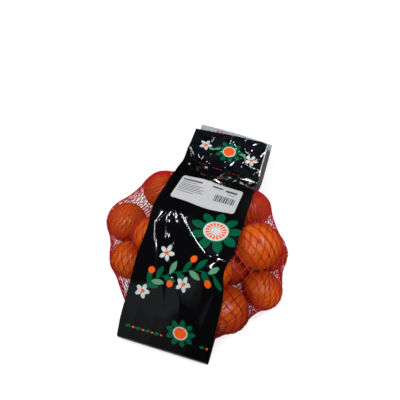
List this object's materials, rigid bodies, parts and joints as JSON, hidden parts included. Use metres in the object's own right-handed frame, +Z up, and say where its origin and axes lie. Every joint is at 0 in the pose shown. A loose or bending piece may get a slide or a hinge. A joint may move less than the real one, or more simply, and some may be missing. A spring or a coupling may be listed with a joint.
{
  "type": "net of clementines",
  "caption": "Knitted tube net full of clementines, lying flat, in a looped band of dark printed film with a welded header and a paper label.",
  "frame": {"origin": "on the table, under the middle of the band: the centre of the flat back film that the net lies on", "axes": "+Y along the band from its fold to its header, +Z up from the table, +X to the right seen with the header away"},
  "size_m": [0.2393, 0.3277, 0.097],
  "materials": {
    "peel": "waxy orange clementine peel with fine pores",
    "net_yarn": "knitted crimson plastic yarn",
    "printed_film": "glossy black printed plastic film, creased",
    "label_paper": "white thermal label paper with plain printed bars"
  },
  "bodies": {
    "root": {"net_of_fruit": "peel", "film_band": "printed_film", "price_label": "label_paper"}
  },
  "joints": []
}
